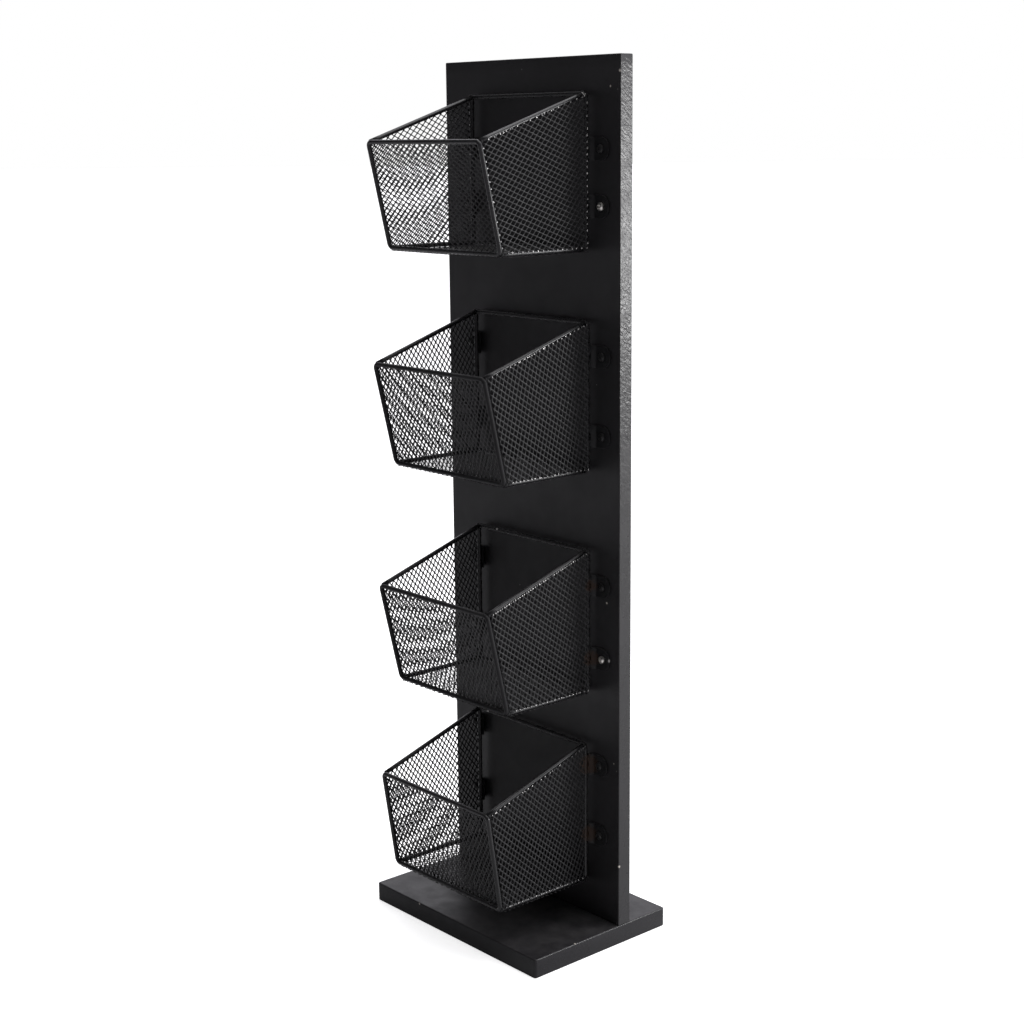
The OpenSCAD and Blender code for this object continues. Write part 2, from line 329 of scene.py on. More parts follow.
def expanded_sheet(u_range, v_range, turn, strand, place):
    """Expanded mesh as a bmesh: two skins joined round every opening.
    place(u, v, out) gives the point of the bent sheet at u, v that stands out by that much."""
    cells, spin = mesh_cells(u_range, v_range, turn)
    outline = opening_outline(strand)
    count = len(outline)
    shape = bmesh.new()
    corners = {}
    for key, (u, v) in cells.items():
        rings = []
        for skin in (1, -1):
            ring = []
            for x, y in outline:
                tilt = STRAND_TILT * math.tanh(x / (0.25 * PITCH_ACROSS))
                du, dv = spin @ Vector((x, y))
                out = tilt + skin * STRAND_THICK / 2
                ring.append(shape.verts.new(place(u + du, v + dv, out)))
            rings.append(ring)
        corners[key] = rings
        for k in range(count):
            n = (k + 1) % count
            shape.faces.new((rings[0][k], rings[0][n], rings[1][n], rings[1][k]))
    # strands: from the upper right side of one opening to the lower left side of the next
    for (i, j), rings in corners.items():
        for di, side_a, side_b in ((1, (1, 2), (8, 7)), (-1, (4, 5), (11, 10))):
            other = corners.get((i + di, j + 1))
            if not other:
                continue
            for skin in (0, 1):
                a, b = rings[skin], other[skin]
                quad = (a[side_a[0]], a[side_a[1]], b[side_b[1]], b[side_b[0]])
                shape.faces.new(quad if skin == 0 else quad[::-1])
    # knuckles: where the corners of four openings meet
    for (i, j), rings in corners.items():
        right = corners.get((i + 2, j))
        above = corners.get((i + 1, j + 1))
        below = corners.get((i + 1, j - 1))
        if not (right and above and below):
            continue
        for skin in (0, 1):
            ring = [rings[skin][k] for k in (11, 0, 1)]
            ring += [above[skin][k] for k in (8, 9, 10)]
            ring += [right[skin][k] for k in (5, 6, 7)]
            ring += [below[skin][k] for k in (2, 3, 4)]
            middle = shape.verts.new(sum((p.co for p in ring), Vector()) / len(ring))
            for k, p in enumerate(ring):
                q = ring[(k + 1) % len(ring)]
                shape.faces.new((middle, p, q) if skin else (middle, q, p))
    return shape


def trim(shape, point, outward, part=None):
    """Cuts the mesh, or the part of it with these points, with a plane.
    Closes the cut strands and returns the faces that close them."""
    points = shape.verts[:]
    edges = shape.edges[:]
    faces = shape.faces[:]
    if part is not None:
        points, inside = part, set(part)
        edges = [e for e in edges if all(v in inside for v in e.verts)]
        faces = [f for f in faces if all(v in inside for v in f.verts)]
    cut = bmesh.ops.bisect_plane(
        shape, geom=points + edges + faces, plane_co=point, plane_no=outward, clear_outer=True)
    rims = [e for e in cut["geom_cut"] if isinstance(e, bmesh.types.BMEdge) and e.is_boundary]
    return bmesh.ops.holes_fill(shape, edges=rims, sides=0)["faces"]


def drop_strays(shape):
    """Removes bits that the trimming left hanging on nothing, and closes what is still open."""
    seen = set()
    strays = []
    for start in shape.verts:
        if start in seen:
            continue
        seen.add(start)
        island = [start]
        for vert in island:
            for edge in vert.link_edges:
                other = edge.other_vert(vert)
                if other not in seen:
                    seen.add(other)
                    island.append(other)
        if len(island) < STRAY_POINTS:
            strays += island
    bmesh.ops.delete(shape, geom=strays, context="VERTS")
    bmesh.ops.delete(shape, geom=[e for e in shape.edges if e.is_wire], context="EDGES")
    bmesh.ops.delete(shape, geom=[v for v in shape.verts if not v.link_faces], context="VERTS")
    bmesh.ops.holes_fill(shape, edges=[e for e in shape.edges if e.is_boundary], sides=0)
    bmesh.ops.edgeloop_fill(shape, edges=[e for e in shape.edges if e.is_boundary])
    bmesh.ops.recalc_face_normals(shape, faces=shape.faces)


def curl(distance, radius, limit):
    """How far a sheet has gone inward and along when it wraps a wire by that distance."""
    angle = min(distance / radius, limit)
    return radius * (1 - math.cos(angle)), radius * math.sin(angle)


def wrap_sheet(b):
    """The sheet round a basket's left side, front and right side, outside the rails.
    Returns it with the places where its strands end on the rails."""
    stand_off = b.wire + SHEET_GAP + SHEET_THICK / 2
    side_x = b.rail + stand_off
    flat = side_x - SHEET_FOLD
    arc = SHEET_FOLD * math.pi / 2
    side = b.back_y - b.rim_y + 25 * MM
    lean_c, lean_s = math.cos(b.lean), math.sin(b.lean)

    def place(u, v, out):
        run = abs(u)
        sign = 1 if u >= 0 else -1
        buckle = BUCKLE * noise.noise(Vector((u * BUCKLE_SCALE, v * BUCKLE_SCALE, b.number * 3.7)))
        r = SHEET_FOLD + out
        if run <= flat:
            x, y = run, -r - buckle
        elif run <= flat + arc:
            a = (run - flat) / SHEET_FOLD
            x, y = flat + r * math.sin(a), -r * math.cos(a)
        else:
            x, y = flat + r + buckle, run - flat - arc
        y += stand_off + SHEET_FOLD
        return Vector((
            b.mid + sign * x,
            b.low_y + y * lean_c - v * lean_s,
            b.floor_z + y * lean_s + v * lean_c))

    span = flat + arc + side
    shape = expanded_sheet(
        (-span, span), (-45 * MM, 160 * MM), MESH_TURN[b.number], STRAND[b.number], place)
    rim_up = Vector((0, -math.sin(b.slope), math.cos(b.slope)))
    rim = Vector((0, b.rim_y, b.rim_z))
    down = Vector((0, 0, -1))
    trim(shape, rim, rim_up)
    trim(shape, Vector((0, 0, b.floor_z - b.wire)), down)
    # the two sides stop short of the rails' centres, so that their strands end on the rails
    tips = []
    for sign in (1, -1):
        wall = b.mid + sign * (side_x - 0.9 * MM)
        for point, outward in ((rim - rim_up * SHEET_SHORT, rim_up),
                               (Vector((0, 0, b.floor_z + SHEET_SHORT)), down)):
            in_side = [v for v in shape.verts if (v.co.x - wall) * sign > 0]
            tips += trim(shape, point, outward, in_side)
    back_end = b.back_y + 2 * stand_off if b.number in ROLLED_BACK else b.back_y - 0.5 * b.wire
    trim(shape, Vector((0, back_end, 0)), Vector((0, 1, 0)))
    drop_strays(shape)
    # at the back posts the sheet swells outward, then curls round behind them
    swell = b.half + stand_off - side_x
    for vert in shape.verts:
        p = vert.co
        sign = math.copysign(1, p.x - b.mid)
        near = min(1.0, max(0.0, (p.y - b.back_y + BACK_SWELL_RUN) / BACK_SWELL_RUN))
        if b.number in ROLLED_BACK:
            p.x += sign * swell * near * near * (3 - 2 * near)
        if p.y > b.back_y:
            inward, along = curl(p.y - b.back_y, stand_off, CURL_LIMIT)
            p.y = b.back_y + along
            p.x -= sign * inward
    tips = [face.calc_center_median() for face in tips if face.is_valid]
    return shape, tips


def floor_sheet(b):
    """The sheet under a basket's bottom wires."""
    stand_off = b.wire + SHEET_GAP + SHEET_THICK / 2
    level = b.floor_z - stand_off
    edge_x = b.rail + stand_off * 0.9
    front = b.low_y - b.wire * 0.5
    back = b.back_y + b.wire
    mid_y = (front + back) / 2
    half_y = (back - front) / 2

    def place(u, v, out):
        sag = SAG * noise.noise(Vector((u * SAG_SCALE, v * SAG_SCALE, b.number * 5.1)))
        return Vector((b.mid + u, mid_y + v, level + sag * 0.6 - out * 0.8))

    over = 8 * MM
    shape = expanded_sheet((-edge_x - over, edge_x + over), (-half_y - over, half_y + over),
                           90 - MESH_TURN[b.number], STRAND[b.number], place)
    for sign in (1, -1):
        trim(shape, Vector((b.mid + sign * edge_x, 0, 0)), Vector((sign, 0, 0)))
    trim(shape, Vector((0, front, 0)), Vector((0, -1, 0)))
    trim(shape, Vector((0, back, 0)), Vector((0, 1, 0)))
    corner = WIRE_BEND * 0.8
    for sign in (1, -1):
        place_x = b.mid + sign * (edge_x - corner)
        trim(shape, Vector((place_x, front, 0)), Vector((sign, -1, 0)).normalized())
    drop_strays(shape)
    return shape


# ---- lugs and screws ----

def lug_step(x, b):
    """Distance from the board to a lug's back face, x metres out from the back post."""
    high = board_y - b.back_y - b.wire - LUG_THICK
    start = b.wire + STEP_CLEAR
    if x <= start:
        return high
    return max(0.0, high - (x - start))


def lug_edge(angle, b):
    """Distance from the lug's hole to its edge in that direction."""
    tail = b.lug_reach - LUG_TIP + b.wire + LUG_TAIL
    c, s = math.cos(angle), math.sin(angle)
    if c >= 0:
        return LUG_TIP
    return min(tail / -c, LUG_TIP / abs(s) if abs(s) > 1e-6 else 1)


def add_lug(form, b, sign, level):
    """A steel strip lug behind the back post, stepped onto the board, with a round tip."""
    hole_x = b.lug_reach - LUG_TIP
    spokes = ROUND_STEPS
    fractions = [0, 0.03] + [k / 16 for k in range(1, 16)] + [0.965, 1.0]
    points = []
    for face in (0, 1):
        for f in fractions:
            soft = LUG_EASE if f in (0, 1.0) else 0
            for k in range(spokes):
                a = 2 * math.pi * (k + 0.5) / spokes
                r = LUG_HOLE + (lug_edge(a, b) - LUG_HOLE) * f
                x = hole_x + r * math.cos(a)
                lift = lug_step(x, b) + (LUG_THICK - soft if face else soft)
                points.append((
                    b.mid + sign * (b.half + x),
                    board_y - lift,
                    level + r * math.sin(a)))
    rings = len(fractions)
    faces = []
    for face in (0, 1):
        for f in range(rings - 1):
            low = (face * rings + f) * spokes
            faces += band(low, low + spokes, spokes)
    for f in (0, rings - 1):
        faces += band(f * spokes, (rings + f) * spokes, spokes)
    form.add(points, faces)


def add_lug_screw(form, b, sign, level, slot, turn):
    """Pan head with a cross recess, lying flat on the lug."""
    spokes, rings = ROUND_STEPS, 26
    seat = board_y - LUG_THICK
    centre_x = b.mid + sign * b.screw_x
    points = []
    for ring in range(rings + 1):
        # the outermost ring drops from the crown's rim straight down to the lug
        share = ring / rings * 1.06
        r = SCREW_HEAD * min(1.0, share)
        crown = math.sqrt(max(0.0, 1 - (r / SCREW_HEAD * 0.93) ** 2))
        rise = SCREW_HEAD_RISE * (0.42 + 0.58 * (crown - CROWN_EDGE) / (1 - CROWN_EDGE))
        if share >= 1:
            rise = 0.0
        for k in range(spokes):
            a = 2 * math.pi * k / spokes + turn
            x, z = r * math.cos(a), r * math.sin(a)
            u, v = abs(r * math.cos(a - turn)), abs(r * math.sin(a - turn))
            in_recess = min(u, v) < RECESS_HALF_WIDTH and max(u, v) < RECESS_REACH
            depth = RECESS_DEPTH * (1 - max(u, v) / RECESS_RUN_OUT) if in_recess else 0.0
            points.append((centre_x + x, seat - rise + depth, level + z))
    faces = []
    for ring in range(rings):
        faces += band(ring * spokes, (ring + 1) * spokes, spokes)
    form.add(points, faces, slot)


# ---- boards ----

def rounded_outline(half_x, half_y, corner, steps=6):
    """Corner-rounded rectangle about the origin, anticlockwise.
    A point just past each end of a corner keeps the sides' shading flat."""
    outline = []
    for quarter, (sx, sy) in enumerate(((1, 1), (-1, 1), (-1, -1), (1, -1))):
        arc = []
        for s in range(steps + 1):
            a = math.pi / 2 * (quarter + s / steps)
            arc.append((
                sx * (half_x - corner) + corner * math.cos(a),
                sy * (half_y - corner) + corner * math.sin(a)))
        enter, leave = math.pi / 2 * quarter, math.pi / 2 * (quarter + 1)
        first = (arc[0][0] + FLAT_MARGIN * math.sin(enter), arc[0][1] - FLAT_MARGIN * math.cos(enter))
        last = (arc[-1][0] - FLAT_MARGIN * math.sin(leave), arc[-1][1] + FLAT_MARGIN * math.cos(leave))
        outline += [first] + arc + [last]
    return outline


def board(name, low, high, corner, material, replaced):
    """A painted board with eased edges, a closed solid of stacked outlines along Z."""
    half_x, half_y = (high.x - low.x) / 2, (high.y - low.y) / 2
    mid_x, mid_y = (high.x + low.x) / 2, (high.y + low.y) / 2
    # heights and how far the outline is drawn in at each, first up the lower easing
    levels = [(low.z, BOARD_EASE + FLAT_MARGIN)]
    ease_steps = 4
    for s in range(ease_steps + 1):
        a = math.pi / 2 * s / ease_steps
        levels.append((low.z + BOARD_EASE * (1 - math.cos(a)), BOARD_EASE * (1 - math.sin(a))))
    height = high.z - low.z
    rows = max(2, round(height / (12 * MM)))
    levels += [(low.z + BOARD_EASE + (height - 2 * BOARD_EASE) * k / rows, 0.0) for k in range(1, rows)]
    levels += [(high.z - (z - low.z), inset) for z, inset in reversed(levels[:ease_steps + 2])]
    shape = bmesh.new()
    rings = []
    for z, inset in levels:
        ring = rounded_outline(half_x - inset, half_y - inset, max(corner - inset, 0.2 * MM))
        rings.append([shape.verts.new((mid_x + x, mid_y + y, z)) for x, y in ring])
    close_stack(shape, rings)
    mesh = bpy.data.meshes.new(name)
    shape.to_mesh(mesh)
    shape.free()
    mesh.materials.append(material)
    mesh.polygons.foreach_set("use_smooth", [True] * len(mesh.polygons))
    thing = place_piece(bpy.data.objects.new(name, mesh), replaced)
    sharpen(thing, BOARD_SHARP)
    return thing


def bore_for_base_screws(base):
    """Countersunk holes up through the base board, one round each base screw."""
    low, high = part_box("base_screws")
    head = (high.y - low.y) / 2
    neck = low.z + head - BASE_SCREW_SHANK
    wide, narrow = head + SCREW_PLAY, BASE_SCREW_SHANK + SCREW_PLAY
    profile = [(wide, base_lo.z - head), (wide, low.z), (narrow, neck), (narrow, base_top + head)]
    spokes = 48
    turns = [2 * math.pi * s / spokes for s in range(spokes)]
    y = low.y + head
    shape = bmesh.new()
    for k in range(BASE_SCREW_COUNT):
        x = low.x + head + (high.x - low.x - 2 * head) * k / (BASE_SCREW_COUNT - 1)
        rings = []
        for radius, z in profile:
            rings.append([
                shape.verts.new((x + radius * math.cos(a), y + radius * math.sin(a), z)) for a in turns])
        close_stack(shape, rings)
    cutter_mesh = bpy.data.meshes.new("countersink_cutter")
    shape.to_mesh(cutter_mesh)
    shape.free()
    cutter = bpy.data.objects.new("countersink_cutter", cutter_mesh)
    bpy.context.scene.collection.objects.link(cutter)
    cut = base.modifiers.new("countersinks", "BOOLEAN")
    cut.operation = "DIFFERENCE"
    cut.solver = "EXACT"
    cut.object = cutter
    depsgraph = bpy.context.evaluated_depsgraph_get()
    bored = bpy.data.meshes.new_from_object(base.evaluated_get(depsgraph))
    base.modifiers.clear()
    base.data = bored
    bpy.data.objects.remove(cutter)
    sharpen(base, BOARD_SHARP)


# ---- shader helpers ----

def node(tree, kind, inputs=None, **settings):
    """Adds a node; an input may be a value or another node's output."""
    made = tree.nodes.new(kind)
    for key, value in settings.items():
        setattr(made, key, value)
    for key, value in (inputs or {}).items():
        if isinstance(value, bpy.types.NodeSocket):
            tree.links.new(value, made.inputs[key])
        else:
            made.inputs[key].default_value = value
    return made


def maths(tree, operation, a, b=0.0, clamp=False):
    return node(tree, "ShaderNodeMath", {0: a, 1: b}, operation=operation, use_clamp=clamp).outputs[0]


def remap(tree, value, low, high, to_low=0.0, to_high=1.0):
    made = node(tree, "ShaderNodeMapRange", {
        "Value": value, "From Min": low, "From Max": high, "To Min": to_low, "To Max": to_high})
    return made.outputs["Result"]


def blend_colour(tree, mask, first, second):
    made = node(tree, "ShaderNodeMix", {0: mask, 6: first, 7: second}, data_type="RGBA")
    return made.outputs[2]


def group(name, inputs, outputs):
    """An empty shader group; returns it with its input and output nodes."""
    tree = bpy.data.node_groups.new(name, "ShaderNodeTree")
    for label, kind, value in inputs:
        socket = tree.interface.new_socket(label, in_out="INPUT", socket_type=kind)
        socket.default_value = value
    for label in outputs:
        tree.interface.new_socket(label, in_out="OUTPUT", socket_type="NodeSocketFloat")
    return tree, tree.nodes.new("NodeGroupInput"), tree.nodes.new("NodeGroupOutput")


FLOAT, VECTOR = "NodeSocketFloat", "NodeSocketVector"


def make_spot_group():
    """A soft ragged spot about a place on the object."""
    tree, given, made = group("Spot", [("Place", VECTOR, (0, 0, 0)), ("Radius", FLOAT, 0.002),
                                       ("Raggedness", FLOAT, 0.5)], ["Mask"])
    here = node(tree, "ShaderNodeTexCoord").outputs["Object"]
    gap = node(tree, "ShaderNodeVectorMath", {0: here, 1: given.outputs["Place"]}, operation="DISTANCE")
    share = maths(tree, "DIVIDE", gap.outputs["Value"], given.outputs["Radius"])
    rag = node(tree, "ShaderNodeTexNoise", {"Vector": here, "Scale": 700.0, "Detail": 2.0}).outputs["Fac"]
    shift = maths(tree, "MULTIPLY", maths(tree, "SUBTRACT", rag, 0.5), given.outputs["Raggedness"])
    edge = maths(tree, "ADD", share, maths(tree, "MULTIPLY", shift, 2.0))
    tree.links.new(remap(tree, edge, 1.0, 0.7), made.inputs["Mask"])
    return tree


def make_stipple_group():
    """Fine roller stipple of sprayed or rolled coating, with slow colour drift."""
    tree, given, made = group("Stipple", [("Grain", FLOAT, 900.0), ("Drift", FLOAT, 9.0)],
                              ["Height", "Drift", "Sheen"])
    here = node(tree, "ShaderNodeTexCoord").outputs["Object"]
    fine = node(tree, "ShaderNodeTexNoise",
                {"Vector": here, "Scale": given.outputs["Grain"], "Detail": 3.0, "Roughness": 0.6})
    slow = node(tree, "ShaderNodeTexNoise",
                {"Vector": here, "Scale": given.outputs["Drift"], "Detail": 4.0, "Roughness": 0.55})
    patches = node(tree, "ShaderNodeTexNoise", {"Vector": here, "Scale": 60.0, "Detail": 2.0})
    tree.links.new(fine.outputs["Fac"], made.inputs["Height"])
    tree.links.new(slow.outputs["Fac"], made.inputs["Drift"])
    tree.links.new(patches.outputs["Fac"], made.inputs["Sheen"])
    return tree


def make_ripple_group():
    """Slanting ripples left in paint over a sawn board edge."""
    tree, given, made = group("Sawn Ripples", [("Spacing", FLOAT, 0.0035)], ["Height"])
    here = node(tree, "ShaderNodeTexCoord").outputs["Object"]
    turned = node(tree, "ShaderNodeVectorRotate",
                  {"Vector": here, "Angle": math.radians(38)}, rotation_type="X_AXIS").outputs[0]
    stretched = node(tree, "ShaderNodeMapping", {"Vector": turned, "Scale": (1.0, 0.32, 1.0)}).outputs[0]
    tightness = maths(tree, "DIVIDE", 1.0, given.outputs["Spacing"])
    streak = node(tree, "ShaderNodeTexNoise", {"Vector": stretched, "Scale": tightness, "Detail": 2.0,
                                               "Roughness": 0.55, "Distortion": 0.3})
    pits = node(tree, "ShaderNodeTexNoise", {"Vector": here, "Scale": tightness, "Detail": 2.0})
    height = maths(tree, "ADD", streak.outputs["Fac"], maths(tree, "MULTIPLY", pits.outputs["Fac"], 0.5))
    tree.links.new(height, made.inputs["Height"])
    return tree


def make_dust_group():
    """Pale dust that settles on faces that look up, and sparse specks anywhere."""
    tree, given, made = group("Dust", [("Amount", FLOAT, 0.3), ("Speck Amount", FLOAT, 0.2)],
                              ["Film", "Specks"])
    here = node(tree, "ShaderNodeTexCoord").outputs["Object"]
    normal = node(tree, "ShaderNodeNewGeometry").outputs["Normal"]
    up = node(tree, "ShaderNodeSeparateXYZ", {0: normal}).outputs["Z"]
    cloud = node(tree, "ShaderNodeTexNoise",
                 {"Vector": here, "Scale": 25.0, "Detail": 6.0, "Roughness": 0.7})
    film = maths(tree, "MULTIPLY", remap(tree, up, 0.3, 1.0), remap(tree, cloud.outputs["Fac"], 0.35, 0.75))
    tree.links.new(maths(tree, "MULTIPLY", film, given.outputs["Amount"]), made.inputs["Film"])
    cells = node(tree, "ShaderNodeTexVoronoi", {"Vector": here, "Scale": 95.0, "Randomness": 1.0})
    chance = node(tree, "ShaderNodeSeparateColor", {0: cells.outputs["Color"]}).outputs[0]
    rare = remap(tree, chance, 0.93, 0.935)
    dot = remap(tree, cells.outputs["Distance"], 0.075, 0.045)
    speck = maths(tree, "MULTIPLY", rare, dot)
    tree.links.new(maths(tree, "MULTIPLY", speck, given.outputs["Speck Amount"]), made.inputs["Specks"])
    return tree


SPOT = make_spot_group()
STIPPLE = make_stipple_group()
RIPPLES = make_ripple_group()
DUST = make_dust_group()


def use(tree, made_group, **values):
    """Places a shader group, with spaces in socket names written as underscores."""
    placed = tree.nodes.new("ShaderNodeGroup")
    placed.node_tree = made_group
    for key, value in values.items():
        socket = placed.inputs[key.replace("_", " ")]
        if isinstance(value, bpy.types.NodeSocket):
            tree.links.new(value, socket)
        else:
            socket.default_value = value
    return placed


def spots(tree, places):
    """One mask for many (place, radius) spots; raggedness is shared."""
    mask = None
    for place, radius in places:
        one = use(tree, SPOT, Place=tuple(place), Radius=radius, Raggedness=0.5).outputs["Mask"]
        mask = one if mask is None else maths(tree, "MAXIMUM", mask, one)
    return mask


def new_material(name, **constants):
    """A material with its own Principled shader; constants are set on the shader's sockets."""
    material = bpy.data.materials.new(name)
    material.use_nodes = True
    tree = material.node_tree
    shader = tree.nodes["Principled BSDF"]
    for key, value in constants.items():
        shader.inputs[key.replace("_", " ")].default_value = value
    return material, tree, shader


def bump(tree, height, strength, distance, below=None):
    values = {"Height": height, "Strength": strength, "Distance": distance}
    if below is not None:
        values["Normal"] = below
    return node(tree, "ShaderNodeBump", values).outputs["Normal"]


BARE_FIBRE = (0.40, 0.37, 0.33, 1)
DUST_GREY = (0.42, 0.41, 0.40, 1)
RUST = (0.032, 0.017, 0.010, 1)
WORN_STEEL = DUST_GREY
EDGE_GLOSS = 0.18             # how much smoother the paint lies on the boards' sawn edges


# ---- finishes ----

def board_paint(name, low, high, dark, chips):
    """Satin black paint over fibreboard: stippled faces, rippled sawn edges, a few chips."""
    material, tree, shader = new_material(name, Specular_IOR_Level=0.28, IOR=1.5)
    place = node(tree, "ShaderNodeTexCoord")
    normal = node(tree, "ShaderNodeSeparateXYZ", {0: place.outputs["Normal"]})
    stipple = use(tree, STIPPLE, Grain=650.0, Drift=7.0)
    dust = use(tree, DUST, Amount=0.10, Speck_Amount=0.35)
    side_face = remap(tree, maths(tree, "ABSOLUTE", normal.outputs["X"]), 0.55, 0.85)
    chip = spots(tree, chips)
    drift = stipple.outputs["Drift"]
    paint = blend_colour(tree, remap(tree, drift, 0.3, 0.7), dark, tuple(c * 1.5 for c in dark[:3]) + (1,))
    paint = blend_colour(tree, dust.outputs["Film"], paint, DUST_GREY)
    paint = blend_colour(tree, dust.outputs["Specks"], paint, DUST_GREY)
    paint = blend_colour(tree, chip, paint, BARE_FIBRE)
    tree.links.new(paint, shader.inputs["Base Color"])
    satin = remap(tree, stipple.outputs["Sheen"], 0.3, 0.7, 0.40, 0.50)
    sleeker = maths(tree, "MULTIPLY", side_face, EDGE_GLOSS)
    smooth = maths(tree, "SUBTRACT", satin, sleeker)
    rough = maths(tree, "ADD", smooth, maths(tree, "MULTIPLY", chip, 0.4), clamp=True)
    tree.links.new(rough, shader.inputs["Roughness"])
    height = node(tree, "ShaderNodeSeparateXYZ", {0: place.outputs["Object"]}).outputs["Z"]
    # the ripples fade out towards the foot of a tall board
    tall = high.z - low.z
    fade = remap(tree, height, low.z + tall * 0.38, low.z + tall * 0.62, 0.12, 1.0)
    ripple = maths(tree, "MULTIPLY", use(tree, RIPPLES, Spacing=0.0030).outputs["Height"],
                   maths(tree, "MULTIPLY", side_face, fade))
    relief = bump(tree, ripple, 1.0, 0.0004)
    relief = bump(tree, stipple.outputs["Height"], 0.10, 0.0003, relief)
    tree.links.new(relief, shader.inputs["Normal"])
    return material


def coated_steel(name, shade, rough_low, rough_high, rust_places=(), chip_places=(), **constants):
    """Semi-gloss black coating on steel, rusting near some welds and chipped in places."""
    material, tree, shader = new_material(name, **constants)
    stipple = use(tree, STIPPLE, Grain=1500.0, Drift=30.0)
    dust = use(tree, DUST, Amount=0.10, Speck_Amount=0.0)
    light = tuple(c * 1.7 for c in shade[:3]) + (1,)
    paint = blend_colour(tree, remap(tree, stipple.outputs["Drift"], 0.3, 0.7), shade, light)
    paint = blend_colour(tree, dust.outputs["Film"], paint, DUST_GREY)
    rough = remap(tree, stipple.outputs["Sheen"], 0.3, 0.7, rough_low, rough_high)
    if rust_places:
        rust = spots(tree, rust_places)
        blotch = maths(tree, "MULTIPLY", rust, remap(tree, stipple.outputs["Height"], 0.35, 0.55))
        paint = blend_colour(tree, blotch, paint, RUST)
        rough = maths(tree, "ADD", rough, maths(tree, "MULTIPLY", blotch, 0.35), clamp=True)
    if chip_places:
        chip = spots(tree, chip_places)
        paint = blend_colour(tree, chip, paint, WORN_STEEL)
    tree.links.new(paint, shader.inputs["Base Color"])
    tree.links.new(rough, shader.inputs["Roughness"])
    tree.links.new(bump(tree, stipple.outputs["Height"], 0.25, 0.0002), shader.inputs["Normal"])
    return material


def bare_metal(name, grain, drift, first, second, patches, smoothest, roughest):
    """Metal that changes between two colours in patches; patches holds the drift from which
    and up to which one turns into the other."""
    material, tree, shader = new_material(name, Metallic=1.0)
    stipple = use(tree, STIPPLE, Grain=grain, Drift=drift)
    share = remap(tree, stipple.outputs["Drift"], *patches)
    tree.links.new(blend_colour(tree, share, first, second), shader.inputs["Base Color"])
    rough = remap(tree, stipple.outputs["Sheen"], 0.3, 0.7, smoothest, roughest)
    tree.links.new(rough, shader.inputs["Roughness"])
    tree.links.new(bump(tree, stipple.outputs["Height"], 0.3, 0.0002), shader.inputs["Normal"])
    return material


def pale_floor_finish(name):
    """Plain pale matt floor."""
    material, tree, shader = new_material(name, Specular_IOR_Level=0.1, Emission_Strength=1.0)
    place = node(tree, "ShaderNodeTexCoord").outputs["Object"]
    backward = node(tree, "ShaderNodeSeparateXYZ", {0: place}).outputs["Y"]
    behind = remap(tree, backward, *FLOOR_TURN)
    unseen = blend_colour(tree, behind, (FLOOR_FRONT,) * 3 + (1,), (FLOOR_BACK,) * 3 + (1,))
    seen = node(tree, "ShaderNodeLightPath").outputs["Is Camera Ray"]
    glow = blend_colour(tree, seen, unseen, (FLOOR_SEEN,) * 3 + (1,))
    tree.links.new(glow, shader.inputs["Emission Color"])
    cloud = node(tree, "ShaderNodeTexNoise", {"Scale": 1.5, "Detail": 3.0}).outputs["Fac"]
    pale = blend_colour(tree, cloud, (0.90, 0.90, 0.90, 1), (0.93, 0.93, 0.93, 1))
    dimmer = blend_colour(tree, behind, FLOOR_FRONT_SHADE, pale)
    tree.links.new(blend_colour(tree, seen, dimmer, pale), shader.inputs["Base Color"])
    tree.links.new(remap(tree, cloud, 0, 1, 0.7, 0.8), shader.inputs["Roughness"])
    return material


# ---- places of wear, worked out from the frame ----

def on_right_lug(b, level):
    """Beside the right back post, at its lower (0) or upper (1) lug."""
    return Vector((b.mid + b.half + 6 * MM, b.back_y, b.lug_levels[level]))


lowest, second, third, top = baskets
rust_at = [
    (on_right_lug(lowest, 0), 11 * MM),
    (on_right_lug(lowest, 1), 13 * MM),
    (on_right_lug(second, 0), 10 * MM),
    (on_right_lug(second, 1), 8 * MM),
]
chipped_wire = Vector((
    second.mid - 0.62 * second.half,
    second.back_y - second.wire,
    second.back_z + second.wire / 2))
wire_chips_at = [
    (chipped_wire, 1.9 * MM),
    (Vector((lowest.mid - 0.8 * lowest.half, lowest.back_y - second.wire, lowest.back_z)), 1.9 * MM),
    (Vector((top.mid + top.half, top.back_y - top.wire, top.back_z)), 2.4 * MM),
]
chipped_tip = Vector((
    second.mid + second.half + second.lug_reach - 1 * MM,
    board_y - LUG_THICK,
    second.lug_levels[0] + 1 * MM))
lug_chips_at = [(chipped_tip, 1.8 * MM)]
right_edge = upright_hi.x
board_chips_at = [
    (Vector((right_edge - 1 * MM, board_y, upright_hi.z - 17 * MM)), 1.6 * MM),
    (Vector((right_edge - 14.4 * MM, board_y, upright_hi.z - 32 * MM)), 1.3 * MM),
    (Vector((right_edge - 19.3 * MM, board_y, second.lug_levels[1] - 17 * MM)), 1.3 * MM),
    (Vector((right_edge, board_y + 1 * MM, base_top + 71 * MM)), 1.7 * MM),
    (Vector((right_edge - 8 * MM, board_y, base_top + 190 * MM)), 0.8 * MM),
]
base_chips_at = [
    (Vector((base_hi.x - 1 * MM, base_lo.y + 60 * MM, base_top)), 1.2 * MM),
    (Vector((-60 * MM, base_lo.y, base_top - 1 * MM)), 1.4 * MM),
]

BOARD_BLACK = (0.0115, 0.011, 0.012, 1)
BASE_BLACK = (0.0062, 0.0058, 0.0072, 1)
WIRE_BLACK = (0.0075, 0.0073, 0.008, 1)
MESH_BLACK = (0.0085, 0.0083, 0.009, 1)
LUG_BLACK = (0.0065, 0.0065, 0.007, 1)
SCREW_BLACK = (0.008, 0.008, 0.008, 1)
NO_RIPPLES = Vector((0, 0, 30))   # a board top so high that the ripples never fade in

